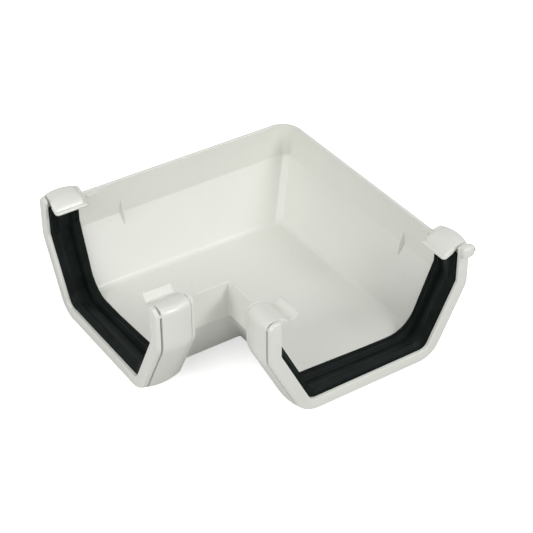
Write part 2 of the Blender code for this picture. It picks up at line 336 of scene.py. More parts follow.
def fillet(before, corner, after, radius, steps):
    """Points along the arc that rounds a corner, using up less than half of either side."""
    to_before = before - corner
    to_after = after - corner
    half_angle = to_before.angle(to_after) / 2
    room = MOST_OF_HALF * min(to_before.length, to_after.length)
    step_back = min(radius / math.tan(half_angle), room)
    radius = step_back * math.tan(half_angle)
    middle = (to_before.normalized() + to_after.normalized()).normalized()
    centre = corner + middle * (radius / math.sin(half_angle))
    start = corner + to_before.normalized() * step_back - centre
    end = corner + to_after.normalized() * step_back - centre
    first = math.atan2(start.y, start.x)
    turn = math.remainder(math.atan2(end.y, end.x) - first, 2 * math.pi)
    return arc(centre, radius, first, first + turn, steps)


class Section:
    """One side of a trough's outline: half widths and depths of its fold and its foot."""

    def __init__(self, half, fold, foot, deep, fold_r, foot_r):
        self.half, self.fold, self.foot, self.deep = half, fold, foot, deep
        self.fold_r, self.foot_r = fold_r, foot_r

    def lean(self):
        return math.atan2(self.half - self.foot, self.deep - self.fold)

    def grown(self, by, foot_r=None):
        """The outline moved out square to itself."""
        fold = self.fold + by * math.tan(self.lean() / 2)
        foot = self.foot + by * math.tan((math.pi / 2 - self.lean()) / 2)
        fold_r = self.fold_r + max(by, 0.0)
        foot_r = self.foot_r + max(by, 0.0) if foot_r is None else foot_r
        return Section(self.half + by, fold, foot, self.deep + by, fold_r, foot_r)

    def width_at(self, depth):
        return self.half - (depth - self.fold) * math.tan(self.lean())

    def side(self, top):
        """Points from the wall's top, round the fold, to the end of the foot's corner."""
        wall_top = Vector((self.half, top))
        fold = Vector((self.half, -self.fold))
        foot = Vector((self.foot, -self.deep))
        middle = Vector((0.0, -self.deep))
        round_fold = fillet(wall_top, fold, foot, self.fold_r, FOLD_STEPS)
        return round_fold + fillet(fold, foot, middle, self.foot_r, FOOT_STEPS)


CHANNEL = Section(56.6, 21.6, 38.95, 55.7, 1.0, 4.5)
BORE = Section(57.0, 19.6, 38.1, 57.7, 2.0, 6.0)
FLANGE = Section(63.35, 22.8, 42.5, 64.35, 14.0, 14.0)
print("The channel's slope leans", round(math.degrees(CHANNEL.lean()), 1), "degrees from upright")

# %% [markdown]
# ## Lengths along a leg
#
# From the mouth inwards come the front flange, a hairline gap, the strap, another gap and the
# rear flange. The flanges and the strap share one barrel curve: the socket is slightly fatter
# in its middle than at its ends. Straight bars would look like cut sheet, so this swell is
# one of the things that make the piece look moulded.

# %% The socket's lengths and its swell
FRONT_FLANGE, STRAP_GAP, STRAP_LONG, REAR_GAP, REAR_FLANGE = 2.5, 0.8, 17.15, 0.5, 2.4
LIP_LONG, RECESS_LONG, DRAFT = 2.1, 16.8, 0.15
FLANGE_BACK = MOUTH - FRONT_FLANGE
STRAP_FRONT = FLANGE_BACK - STRAP_GAP
STRAP_BACK = STRAP_FRONT - STRAP_LONG
REAR_FRONT = STRAP_BACK - REAR_GAP
SOCKET_BACK = REAR_FRONT - REAR_FLANGE
SEAT_FRONT = MOUTH - LIP_LONG
SEAT_BACK = SEAT_FRONT - RECESS_LONG
BULGE, CREST_RISE = 2.0, 1.4


def swell(s):
    """The barrel curve along a leg: 0 at the mouth and 1 in the middle of the strap."""
    middle = (STRAP_FRONT + STRAP_BACK) / 2
    return 1 - ((s - middle) / (MOUTH - middle)) ** 2


def bulge(s):
    return BULGE * swell(s)


print("The strap runs from", round(STRAP_BACK, 2), "to", round(STRAP_FRONT, 2))

# %% [markdown]
# ## Closed outlines
#
# A wall's outline goes down one outer side, up the other, and back along the inner face. All
# outlines of one piece have the same number of points, so rings of them can be joined into a
# skin. Ends are rounded by shrinking an outline square to itself while it moves forward.

# %% Helpers for closed outlines
INNER_CREST, INNER_CREST_R = 2.3, 4.2
OUTER_CREST, OUTER_CREST_R, OUTER_CREST_FALL = 2.4, 2.8, 0.6
WALL, RIM_R, TOP_CHAMFER = 1.85, 0.5, 0.3
SLEEVE_WALL, SLEEVE_TOP, RECESS = 3.2, -0.8, 1.0


def outer_crest(s):
    """The height of the outer side's top edge at a place along the leg."""
    return OUTER_CREST + CREST_RISE * swell(s)


def other_side(points):
    return [Vector((-p.x, p.y)) for p in points]


def closed_loop(outer_side, inner_side, inside):
    return outer_side + other_side(inner_side)[::-1] + other_side(inside) + inside[::-1]


def crest_points(section, crest, crest_r):
    centre = Vector((section.half - crest_r, crest - crest_r))
    return arc(centre, crest_r, math.pi / 2, 0.0, CREST_STEPS)


def wall_side(outer, inner, crest, crest_r, fall=0.0):
    """One side's outer face, from the inner edge of its top to the floor."""
    top = [Vector((inner.half, crest - fall - TOP_CHAMFER)),
           Vector((inner.half + TOP_CHAMFER, crest - fall))]
    return top + crest_points(outer, crest, crest_r) + outer.side(crest - crest_r)


def plain_wall(outer, inner, crest):
    side = wall_side(outer, inner, crest, RIM_R)
    return closed_loop(side, side, inner.side(crest))


def flange_wall(s, inner, inset=0.0):
    """A flange's outline at a place along the leg, drawn in a little to round its edges."""
    outer = FLANGE.grown(bulge(s) - inset)
    crest = outer_crest(s) - inset
    low_crest = INNER_CREST - inset
    outer_side = wall_side(outer, inner, crest, OUTER_CREST_R, OUTER_CREST_FALL)
    inner_side = wall_side(outer, inner, low_crest, INNER_CREST_R)
    return closed_loop(outer_side, inner_side, inner.side(low_crest))


def rounding(radius, steps=3):
    """Pairs of how far back and how far in, from a rounded edge's face to its side."""
    turns = [math.pi / 2 * k / steps for k in range(steps + 1)]
    return [(radius * (1 - math.cos(a)), radius * (1 - math.sin(a))) for a in turns]


print("A flange's outline has", len(flange_wall(MOUTH, BORE)), "points")

# %% [markdown]
# ## The angle itself
#
# The trough turns the corner by a rule. At the rims the outer corner is a plain arc. Going
# down to the fold the arc tightens and a flat facet opens in its middle, and below the fold
# there are two tight bends with the facet between them. No single sweep can do that.
#
# So the trough is first drawn straight, with its two sockets, as one long skin of rings. Then
# a Geometry Nodes tree bends it: each point reads its place along the trough, to the side and
# up, and the rule gives its place round the corner. The bend's sizes are the tree's inputs.

# %% Rings of the straight trough
MOUTH_R, FLANGE_BACK_R, REAR_FRONT_R, SOCKET_BACK_R = 0.45, 0.3, 0.4, 0.5
STEP = 0.02
CORNER_ZONE, CORNER_STEPS = 40.0, 14


def flange_edge(face, towards, radius, inner):
    """Rings round a flange's edge, from its face; towards is the way that the flange lies."""
    places = [(face + towards * behind, inset) for behind, inset in rounding(radius)]
    return [(s, flange_wall(s, inner, inset)) for s, inset in places]


def socket_rings():
    """The wall's outlines from the mouth in to the back of the socket."""
    sleeve = BORE.grown(SLEEVE_WALL)
    seat = BORE.grown(RECESS)
    bored = [(MOUTH - behind, inset) for behind, inset in rounding(MOUTH_R)]
    rings = [(s, flange_wall(s, BORE.grown(inset), inset)) for s, inset in bored]
    rings.append((SEAT_FRONT + DRAFT, flange_wall(SEAT_FRONT + DRAFT, BORE)))
    rings.append((SEAT_FRONT, flange_wall(SEAT_FRONT, seat)))
    rings += flange_edge(FLANGE_BACK, 1, FLANGE_BACK_R, seat)[::-1]
    rings.append((FLANGE_BACK - STEP, plain_wall(sleeve, seat, SLEEVE_TOP)))
    rings.append((SEAT_BACK, plain_wall(sleeve, seat, SLEEVE_TOP)))
    rings.append((SEAT_BACK - DRAFT, plain_wall(sleeve, CHANNEL, SLEEVE_TOP)))
    rings.append((REAR_FRONT + STEP, plain_wall(sleeve, CHANNEL, SLEEVE_TOP)))
    rings += flange_edge(REAR_FRONT, -1, REAR_FRONT_R, CHANNEL)
    rings += flange_edge(SOCKET_BACK, 1, SOCKET_BACK_R, CHANNEL)[::-1]
    rings.append((SOCKET_BACK - STEP, plain_wall(CHANNEL.grown(WALL), CHANNEL, 0.0)))
    return rings


RINGS = socket_rings()
LOOP = len(RINGS[0][1])
print("Each socket has", len(RINGS), "rings of", LOOP, "points")

# %% A skin over rings
HAIR = 0.001


def keep_mesh(name, mesh):
    """Ends a drawing as mesh data."""
    data = bpy.data.meshes.new(name)
    mesh.to_mesh(data)
    mesh.free()
    return data


def skinned(rings):
    """A closed drawing stretched over rings of points that all run round the same way."""
    mesh = bmesh.new()
    rows = [[mesh.verts.new(point) for point in ring] for ring in rings]
    for row, following in zip(rows, rows[1:]):
        for k in range(len(row)):
            mesh.faces.new((row[k - 1], row[k], following[k], following[k - 1]))
    mesh.faces.new(rows[0])
    mesh.faces.new(rows[-1][::-1])
    bmesh.ops.recalc_face_normals(mesh, faces=mesh.faces)
    return mesh


def straight_trough():
    """Both sockets and the plain channel, with two rings a hair apart where the facet opens."""
    left = [[(-s, p.x, p.y) for p in loop] for s, loop in RINGS]
    right_side = [[(s, p.x, p.y) for p in loop] for s, loop in RINGS[::-1]]
    channel = RINGS[-1][1]
    shares = [k / CORNER_STEPS for k in range(CORNER_STEPS + 1)]
    places = [-CORNER_ZONE * (1 - share) - HAIR for share in shares]
    places += [CORNER_ZONE * share + HAIR for share in shares]
    middle = [[(u, p.x, p.y) for p in channel] for u in places]
    return keep_mesh("straight_trough", skinned(left + middle + right_side))


def outer_skin_marks(data):
    """Marks the points of the outer skin, which turns the corner on a wider arc."""
    top_points, arcs = 2, (CREST_STEPS, FOLD_STEPS, FOOT_STEPS)
    outer_count = 2 * (top_points + sum(steps + 1 for steps in arcs))
    marks = [1.0 if k % LOOP < outer_count else 0.0 for k in range(len(data.vertices))]
    layer = data.attributes.new("outer_skin", "FLOAT", "POINT")
    layer.data.foreach_set("value", marks)


trough_data = straight_trough()
outer_skin_marks(trough_data)
print("The straight trough has", len(trough_data.vertices), "points")


# %% Open and close a Geometry Nodes tree
def new_tree(name, sizes):
    """A Geometry Nodes tree with named number inputs, its geometry input first."""
    tree = bpy.data.node_groups.new(name, "GeometryNodeTree")
    tree.interface.new_socket("Geometry", in_out="INPUT", socket_type="NodeSocketGeometry")
    for size in sizes:
        tree.interface.new_socket(size, in_out="INPUT", socket_type="NodeSocketFloat")
    tree.interface.new_socket("Geometry", in_out="OUTPUT", socket_type="NodeSocketGeometry")
    board = Board(tree)
    return board, board.add("NodeGroupInput")


def close_tree(board, geometry, finish):
    """Ends a tree as every one ends here: real geometry with its material."""
    real = board.add("GeometryNodeRealizeInstances", None, {0: geometry})
    dressed = board.add("GeometryNodeSetMaterial", None, {"Geometry": real, "Material": finish})
    board.add("NodeGroupOutput", None, {0: dressed})


def position(board):
    """Where a point of the drawing is, as three numbers in millimetres."""
    place = board.add("ShaderNodeSeparateXYZ", None, {0: board.add("GeometryNodeInputPosition")})
    return [place.output(axis) for axis in "XYZ"]


def moved_to(board, drawing, x, y, z):
    """Moves each point to a place that is given from the crossing, and on to metres."""
    point = board.add("ShaderNodeCombineXYZ", None, {0: x, 1: y, 2: z})
    moved = board.add("ShaderNodeVectorMath", {"operation": "ADD"}, {0: point, 1: CROSSING})
    metres = board.add("ShaderNodeVectorMath", {"operation": "SCALE"}, {0: moved, "Scale": MM})
    values = {"Geometry": drawing, "Position": metres}
    return board.add("GeometryNodeSetPosition", None, values)


print("A tree ends in Realize Instances and Set Material")

# %% The rule that bends it
PAST_ZONE = 0.1
BEND_SIZES = {
    "Corner Zone": CORNER_ZONE, "Fold Depth": CHANNEL.fold, "Rim Radius": 10.6,
    "Facet Radius": 1.5, "Facet": 3.6, "Inner Radius": 3.0, "Wall": WALL,
}


def bend_tree():
    board, entry = new_tree("bend_round_corner", BEND_SIZES)
    size = {name: entry.output(name) for name in BEND_SIZES}
    u, d, z = position(board)
    skin = board.add("GeometryNodeInputNamedAttribute", {"data_type": "FLOAT"},
                     {"Name": "outer_skin"})
    outer_corner = d > 0.0
    low = (-z / size["Fold Depth"]).between(0.0, 1.0)
    wide = size["Rim Radius"] + (size["Facet Radius"] - size["Rim Radius"]) * low
    wide = wide + size["Wall"] * skin
    tight = size["Inner Radius"] - size["Wall"] * skin
    radius = tight + (wide - tight) * outer_corner
    facet = size["Facet"] * low * outer_corner
    reach = radius + facet * math.sqrt(0.5)
    turn = math.pi / 4 + (abs(u) / size["Corner Zone"]).between(0.0, 1.0) * (math.pi / 4)
    across = d - radius + radius * turn.sine()
    bent = reach - d - radius * turn.cosine()
    straight = abs(u) > size["Corner Zone"] + PAST_ZONE
    along = bent + (abs(u) - bent) * straight
    on_left = u < 0.0
    x = across - (across + along) * on_left
    y = (across + along) * on_left - along
    close_tree(board, moved_to(board, entry, x, y, z), WHITE)
    return board.tree


def settle(name, data, tree, sizes):
    """Runs a tree on a mesh and keeps the result as a plain mesh object."""
    source = put(name + "_plan", data)
    live = source.modifiers.new("build", "NODES")
    live.node_group = tree
    for item in tree.interface.items_tree:
        if item.in_out == "INPUT" and item.name in sizes:
            live[item.identifier] = float(sizes[item.name])
    graph = bpy.context.evaluated_depsgraph_get()
    result = bpy.data.meshes.new_from_object(source.evaluated_get(graph), depsgraph=graph)
    source.modifiers.remove(live)
    bpy.data.objects.remove(source)
    return put(name, result)


angle = settle("angle", trough_data, bend_tree(), BEND_SIZES)
print("The bent trough spans", [round(v / MM, 1) for v in angle.dimensions], "mm")

# %% Finish a white or black piece
MERGE_BELOW = 0.001 * MM
SHARP_FROM = math.radians(20.0)


def smooth(piece):
    """Smooth shading that stops at real edges, with doubled points merged first."""
    mesh = bmesh.new()
    mesh.from_mesh(piece.data)
    bmesh.ops.remove_doubles(mesh, verts=mesh.verts, dist=MERGE_BELOW)
    bmesh.ops.recalc_face_normals(mesh, faces=mesh.faces)
    mesh.to_mesh(piece.data)
    mesh.free()
    piece.data.shade_smooth()
    piece.data.set_sharp_from_angle(angle=SHARP_FROM)


def dress(piece, slot):
    """Gives a piece its finish, its body and its slot."""
    smooth(piece)
    piece.data.materials.clear()
    piece.data.materials.append(RUBBER if slot == "black_rubber" else WHITE)
    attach(piece, "root")
    print(piece.name, "has", len(piece.data.polygons), "faces")
    return piece


dress(angle, "white_pvc")
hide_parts("angle_body")

# %% [markdown]
# ## Small details that both legs share
#
# Each leg has a stop rib across the fold of its outer wall, which keeps the gutter from being
# pushed in too far. It is a thin leaf, pointed at both ends and fattest at the fold, so it is
# made of level slices. Near the socket a short ledge runs below the rim. A nib bridges the gap
# between the front flange and the strap. The two legs mirror each other, so each detail is
# drawn once on a leg's rulers, and a Geometry Nodes tree puts it on both legs. A mirror turns a
# shape inside out, so one of the two has its faces flipped.


# %% A tree that puts a drawing on both legs
def both_legs_tree(name, sizes, finish, shape=None):
    """Places ruler drawings on both legs; shape may first turn the drawing into something."""
    board, entry = new_tree(name, sizes)
    size = {key: entry.output(key) for key in sizes}
    drawing = shape(board, entry, size) if shape else entry
    s, d, z = position(board)
    on_left = moved_to(board, drawing, -s, d, z)
    on_right = moved_to(board, drawing, d, -s, z)
    flipped = board.add("GeometryNodeFlipFaces", None, {0: on_left})
    joined = board.add("GeometryNodeJoinGeometry", None, {0: flipped})
    board.tree.links.new(on_right.socket, joined.socket.node.inputs[0])
    close_tree(board, joined, finish)
    return board.tree


details_tree = both_legs_tree("details_on_both_legs", {}, WHITE)
print("The tree for both legs has", len(details_tree.nodes), "nodes")

# %% Stop ribs, ledges and nibs
ROOT = 0.8
STOP_BEHIND, STOP_TOP, STOP_DEEP = 23.8, 13.3, 28.6
STOP_FOOT, STOP_EDGE, STOP_BELLY, STOP_STEPS = 2.0, 0.6, 1.3, 14
STOP_TIP, STOP_SLANT = 0.1, 0.15
LEDGE_BEHIND, LEDGE_LONG, LEDGE_DOWN, LEDGE_HIGH, LEDGE_PROUD = 2.2, 6.4, 2.8, 1.0, 0.9
NIB_OUT, NIB_IN, NIB_LOW, NIB_TOP = 0.55, 2.0, -2.0, -0.7
LEDGE_R, NIB_R = 0.3, 0.15


def bar(d_low, d_high, z_low, z_high):
    return [(d_low, z_low), (d_high, z_low), (d_high, z_high), (d_low, z_high)]


def round_edges(mesh, edges, radius, segments):
    bmesh.ops.bevel(mesh, geom=edges, offset=radius, segments=segments, profile=0.5,
                    affect="EDGES")


def soft_bar(name, start, end, outline, edges_r):
    """A bar on the rulers: an outline in d and z from one s to another, its edges rounded."""
    mesh = skinned([[(s, d, z) for d, z in outline] for s in (start, end)])
    round_edges(mesh, list(mesh.edges), edges_r, 2)
    return keep_mesh(name, mesh)


def stop_rib_mesh():
    """A leaf across the fold, in level slices from its upper tip to its lower one."""
    stop_at = SOCKET_BACK - STOP_BEHIND
    low_wall = CHANNEL.width_at(STOP_DEEP)
    slices = []
    for k in range(STOP_STEPS + 1):
        share = k / STOP_STEPS
        fat = math.sin(math.pi * share)
        z = -STOP_TOP - (STOP_DEEP - STOP_TOP) * share
        wall = min(CHANNEL.half, CHANNEL.width_at(-z))
        edge = CHANNEL.half + (low_wall - CHANNEL.half) * share - STOP_BELLY * fat
        foot = STOP_TIP + STOP_FOOT / 2 * fat
        thin = STOP_TIP + STOP_EDGE / 2 * fat
        half = [(foot, wall + ROOT), (foot, wall), (thin, edge + STOP_SLANT * fat)]
        ring = [(stop_at - out, d, z) for out, d in half] + [(stop_at, edge, z)]
        slices.append(ring + [(stop_at + out, d, z) for out, d in half[::-1]])
    return keep_mesh("stop_ribs", skinned(slices))


def ledge_mesh():
    front = SOCKET_BACK - LEDGE_BEHIND
    outline = bar(CHANNEL.half - LEDGE_PROUD, CHANNEL.half + ROOT,
                  -LEDGE_DOWN - LEDGE_HIGH / 2, -LEDGE_DOWN + LEDGE_HIGH / 2)
    return soft_bar("ledges", front - LEDGE_LONG, front, outline, LEDGE_R)


def nib_mesh():
    outline = bar(-FLANGE.half - NIB_OUT, -FLANGE.half + NIB_IN, NIB_LOW, NIB_TOP)
    return soft_bar("nibs", STRAP_FRONT - ROOT, FLANGE_BACK + ROOT, outline, NIB_R)


for drawing in (stop_rib_mesh(), ledge_mesh(), nib_mesh()):
    dress(settle(drawing.name, drawing, details_tree, {}), "white_pvc")

# %% [markdown]
# ## The lug
#
# The right socket carries one rounded lug at the outer top of its mouth. It is a block with
# soft edges, wider than it is deep, whose outer end is rounder than the end by the bore.

# %% Make the lug
LUG_WIDE, LUG_OUT, LUG_LOW, LUG_TOP = 8.2, 2.1, -3.3, 3.3
LUG_SHORT, NEARLY = 0.1, 0.1
LUG_END_R, LUG_END_STEPS = 2.8, 5
LUG_EDGE_R, LUG_EDGE_STEPS = 1.5, 4
LUG_EDGE_FROM = math.radians(40)


def keep_in_order(name, mesh):
    """Ends a drawing with points and faces sorted, as a bevel may list its own in any order."""
    points = sorted(tuple(v.co) for v in mesh.verts)
    numbers = {point: k for k, point in enumerate(points)}
    faces = []
    for face in mesh.faces:
        ring = [numbers[tuple(v.co)] for v in face.verts]
        start = ring.index(min(ring))
        faces.append(ring[start:] + ring[:start])
    mesh.free()
    data = bpy.data.meshes.new(name)
    data.from_pydata(points, [], sorted(faces))
    return data


def lug_mesh():
    out = FLANGE.half + LUG_OUT
    ends = (FLANGE_BACK + ROOT, MOUTH + LUG_FORWARD - LUG_SHORT)
    outline = bar(out - LUG_WIDE, out, LUG_LOW, LUG_TOP)
    mesh = skinned([[right_leg(s, d, z) for d, z in outline] for s in ends])
    far_out = right_leg(0, out - NEARLY, 0).x
    outer_end = [e for e in mesh.edges if min(v.co.x for v in e.verts) > far_out]
    round_edges(mesh, outer_end, LUG_END_R * MM, LUG_END_STEPS)
    sharp = [e for e in mesh.edges if e.is_manifold and e.calc_face_angle() > LUG_EDGE_FROM]
    round_edges(mesh, sharp, LUG_EDGE_R * MM, LUG_EDGE_STEPS)
    return keep_in_order("lug", mesh)


dress(put("lug", lug_mesh()), "white_pvc")

# %% [markdown]
# ## Straps with hooked hoods
#
# A strap wraps the sleeve between the two flanges. At its top on each side it folds over as a
# hood, and the hood ends in a hooked nose that snaps over the gutter's rim. The strap is one
# closed outline carried along the leg, following the barrel swell, with its two ends rounded.

# %% The outline of a strap
STRAP_CLEAR, CREST_IN = 0.3, 0.2
HOOD_BASE = SLEEVE_TOP + STRAP_CLEAR
KNEE_IN, KNEE_DROP = 3.1, 1.0
NOSE = Vector((BORE.half - 8.3, HOOD_BASE - 2.0))
NOSE_FROM, NOSE_TO = math.radians(-70), math.radians(-325)
GROOVE, KNEE_EARLY, TUCK_LIFT = Vector((1.2, 0.72)), 0.12, 0.3
OUTER_HOOD = {
    "nose": NOSE, "nose_r": 1.0, "corner_r": 1.5, "brow": Vector((1.75, 1.7)),
    "bulge": 0.75, "crest_r": OUTER_CREST_R, "fall": OUTER_CREST_FALL,
}
INNER_HOOD = {
    "nose": NOSE + Vector((0.6, 0.6)), "nose_r": 0.8, "corner_r": 2.0,
    "brow": Vector((1.5, 1.2)), "bulge": 0.3, "crest_r": INNER_CREST_R, "fall": 0.0,
}
HOOD_STEPS, NOSE_STEPS, SWELL_STEPS = 10, 10, 16


def tucked(hood, behind):
    """A nose drawn back at its front corner, which is a quarter circle seen from above."""
    corner_r = hood["corner_r"]
    left = max(corner_r - behind, 0.0)
    tuck = corner_r - math.sqrt(corner_r ** 2 - left ** 2)
    return hood["nose"] + Vector((tuck, tuck * TUCK_LIFT))


def hood_side(hood, outer, crest, behind):
    """A strap's outer face on one side, from the sleeve's top round the hood and down.

    The nose is a bead with a groove above it, and the hood rises from there over a steep
    brow to its crest.
    """
    clear = BORE.grown(SLEEVE_WALL + STRAP_CLEAR)
    nose, nose_r = tucked(hood, behind), hood["nose_r"]
    points = [Vector((clear.half, HOOD_BASE)), Vector((BORE.half, HOOD_BASE)),
              Vector((BORE.half - KNEE_IN, HOOD_BASE - KNEE_DROP))]
    points += arc(nose, nose_r, NOSE_FROM, NOSE_TO, NOSE_STEPS)
    points.append(nose + GROOVE * nose_r)
    brow = nose + hood["brow"]
    end = Vector((BORE.half + CREST_IN, crest - hood["fall"]))
    rise = (end - brow).normalized()
    outward = Vector((-rise.y, rise.x)) * 2 * hood["bulge"]
    knee = (brow + end) / 2 + outward - (end - brow) * KNEE_EARLY
    for k in range(HOOD_STEPS + 1):
        share = k / HOOD_STEPS
        points.append(brow * (1 - share) ** 2 + knee * 2 * share * (1 - share) + end * share ** 2)
    crest_r = hood["crest_r"]
    return points + crest_points(outer, crest, crest_r) + outer.side(crest - crest_r)


def strap_loop(s, behind=math.inf):
    """A strap's outline at a place along the leg, a distance behind its front."""
    inside = BORE.grown(SLEEVE_WALL + STRAP_CLEAR).side(HOOD_BASE)
    outer = FLANGE.grown(bulge(s))
    outer_hood = hood_side(OUTER_HOOD, outer, outer_crest(s), behind)
    inner_hood = hood_side(INNER_HOOD, outer, INNER_CREST, behind)
    return closed_loop(outer_hood, inner_hood, inside)


print("A strap's outline has", len(strap_loop(STRAP_FRONT)), "points")

# %% Round the strap's ends
LIP_PAST, LIP_BLEND, LIP_IN, LIP_FADE = 1.05, 3.0, 0.6, 1.5
FRONT_R, FRONT_STEPS, REAR_R = 0.25, 4, 0.35
BAND_FRONT, BAND_BACK = STRAP_FRONT - 0.35, STRAP_BACK - 0.3
CORNER_STATIONS = (0.5, 0.9, 1.2, 1.5, 1.8, 2.2)


def shrunk(loop, by):
    """An outline moved in, square to itself."""
    area = sum(a.x * b.y - b.x * a.y for a, b in zip(loop[-1:] + loop[:-1], loop))
    inward = by if area > 0 else -by
    made = []
    for before, point, after in zip(loop[-1:] + loop[:-1], loop, loop[1:] + loop[:1]):
        run = (after - point).normalized() + (point - before).normalized()
        run.normalize()
        made.append(point + Vector((-run.y, run.x)) * inward)
    return made


def strap_stations():
    """Outlines from the strap's front to its back, each with its place s."""
    stations = []
    for behind, inset in rounding(FRONT_R, FRONT_STEPS):
        s = BAND_FRONT - behind
        stations.append((s, shrunk(strap_loop(s, behind), inset)))
    for behind in CORNER_STATIONS:
        s = BAND_FRONT - behind
        stations.append((s, strap_loop(s, behind)))
    for k in range(1, SWELL_STEPS):
        left = BAND_FRONT - BAND_BACK - CORNER_STATIONS[-1] - REAR_R
        s = BAND_FRONT - (CORNER_STATIONS[-1] + left * k / SWELL_STEPS)
        stations.append((s, strap_loop(s)))
    for behind, inset in rounding(REAR_R)[::-1]:
        s = BAND_BACK + behind
        stations.append((s, shrunk(strap_loop(s), inset)))
    return stations


def held(share):
    return min(max(share, 0.0), 1.0)


def lip_push(s, d):
    """The outer hook reaches a little further forward than the band, inside the bore."""
    inside = held((BORE.half - LIP_IN - d) / LIP_FADE) * (d > 0)
    ahead = held(1 - (BAND_FRONT - s) / LIP_BLEND)
    return LIP_PAST * inside * ahead


def strap_mesh(side):
    leg = LEGS[side]
    rings = [[leg(s + lip_push(s, p.x), p.x, p.y) for p in loop] for s, loop in strap_stations()]
    return keep_mesh("strap_" + side, skinned(rings))


for side in LEGS:
    strap = dress(put("strap_" + side + "_band", strap_mesh(side)), "white_pvc")
    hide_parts("strap_" + side)

# %% [markdown]
# ## Release tabs and bead ends
#
# Each inner hood has a thin flat tab that stands up from its nose, to unclip the gutter with a
# thumb. On each outer hood the nose's bead runs on past the strap and ends in a small dome.
# Both are drawn once on the rulers and put on both legs by the same tree.

# %% Tabs and bead ends
TAB_LONG, TAB_TILT, TAB_THICK = 6.0, math.radians(46.0), 1.2
TAB_TAPER, TAB_SUNK, TAB_R = 0.85, Vector((0.3, 0.7)), 0.3
TAB_BACK, TAB_FRONT = STRAP_BACK + 0.5, STRAP_FRONT + 0.15
BEAD_R, BEAD_PAST, BEAD_ROOT, BEAD_SIDES, DOME_STEPS = 0.95, 1.9, 2.0, 16, 5


def tab_outline():
    along = Vector((-math.cos(TAB_TILT), math.sin(TAB_TILT)))
    across = Vector((along.y, -along.x)) * (TAB_THICK / 2)
    root = INNER_HOOD["nose"] - TAB_SUNK
    tip = root + along * TAB_LONG
    narrow = across * TAB_TAPER
    corners = [root - across, root + across, tip + narrow, tip - narrow]
    return [(-p.x, p.y) for p in corners]


def bead_mesh():
    """A round bar along the nose whose free end is a dome."""
    tip = STRAP_BACK - BEAD_PAST
    rings = [(STRAP_BACK + BEAD_ROOT, BEAD_R), (tip + BEAD_R, BEAD_R)]
    for k in range(1, DOME_STEPS):
        turn = math.pi / 2 * k / DOME_STEPS
        rings.append((tip + BEAD_R * (1 - math.sin(turn)), BEAD_R * math.cos(turn)))
    loops = []
    for s, radius in rings:
        circle = arc(NOSE, radius, 0.0, 2 * math.pi, BEAD_SIDES)[:-1]
        loops.append([(s, p.x, p.y) for p in circle])
    return keep_mesh("bead_ends", skinned(loops))


tab_mesh = soft_bar("release_tabs", TAB_BACK, TAB_FRONT, tab_outline(), TAB_R)
for drawing in (tab_mesh, bead_mesh()):
    dress(settle(drawing.name, drawing, details_tree, {}), "white_pvc")

# %% [markdown]
# ## Seals
#
# Each seal is a rubber band lying in the sleeve's recess, round the whole U. Along the leg it
# rises to a front pad, sinks to a groove and rises again to a rear rib. Its outer foot opens
# from a tight corner at the front to a wide sweep at the back, while its inner foot stays
# tight. Its rear edge flares back up the outer wall and towards the inner foot, and the band
# is thinner up the inner wall.

# %% Draw a seal
SEAL_CLEAR, SEAL_DOWN, INNER_DOWN = 0.3, 1.5, 4.5
PAD_FRONT, PAD_HIGH, PAD_LONG = 2.2, 3.8, 4.0
GROOVE_AT, GROOVE_HIGH = 10.6, 0.4
RIB_AT, RIB_HIGH, RIB_BACK = 12.6, 2.5, 2.2
SEAL_FRONT_R, SEAL_REAR_R, SEAL_INNER_R = 7.0, 20.0, 5.0
SEAL_THINNER, SEAL_LEAST = 1.2, 0.1
FLARE, FLARE_FROM, FLARE_TO = 1.6, -46.0, -20.0
INNER_FLARE, INNER_FROM, INNER_TO = 2.8, 8.0, 38.0
SEAL_TOPS = (SLEEVE_TOP - SEAL_DOWN, SLEEVE_TOP - INNER_DOWN)
SEAL_LONG = RECESS_LONG - 2 * SEAL_CLEAR
SEAL_PROFILE = (
    (0.0, PAD_FRONT - 0.6), (0.15, PAD_FRONT - 0.25), (0.45, PAD_FRONT),
    (PAD_LONG / 2, PAD_HIGH), (PAD_LONG - 0.4, PAD_HIGH - 0.05), (PAD_LONG, PAD_HIGH - 0.35),
    (GROOVE_AT, GROOVE_HIGH), (RIB_AT - 0.7, RIB_HIGH - 0.5), (RIB_AT - 0.35, RIB_HIGH - 0.1),
    (RIB_AT, RIB_HIGH), (RIB_AT + 0.45, RIB_HIGH - 0.2), (RIB_AT + 0.8, RIB_BACK - 0.2),
    (SEAL_LONG - 0.3, RIB_BACK), (SEAL_LONG, RIB_BACK - 0.3),
)


def seal_face(depth, height, side):
    """The rubber's face: side is 1 for the outer wall and -1 for the inner one."""
    share = depth / SEAL_LONG
    rear_r = SEAL_INNER_R if side < 0 else SEAL_REAR_R
    face = BORE.grown(-height, SEAL_FRONT_R + (rear_r - SEAL_FRONT_R) * share)
    outer_share = held((depth - PAD_LONG) / (GROOVE_AT - PAD_LONG))
    thinner = SEAL_THINNER if side < 0 else SEAL_THINNER * outer_share
    thinner = min(thinner, height - SEAL_LEAST)
    face.half += thinner
    face.fold -= thinner / math.tan(BORE.lean())
    return face


def eased(value, low, high):
    """The value's share of the way from low to high, with a soft start and end."""
    share = held((value - low) / (high - low))
    return share * share * (3 - 2 * share)


def seal_place(depth, d, z):
    """Where a point of the rubber's face lies along the leg, with the flare of its back."""
    behind = held((depth - PAD_LONG) / (SEAL_LONG - PAD_LONG))
    flare = FLARE * eased(z, FLARE_FROM, FLARE_TO)
    if d < 0:
        flare = INNER_FLARE * eased(-d, INNER_FROM, INNER_TO)
    return SEAT_FRONT - SEAL_CLEAR - depth - flare * behind


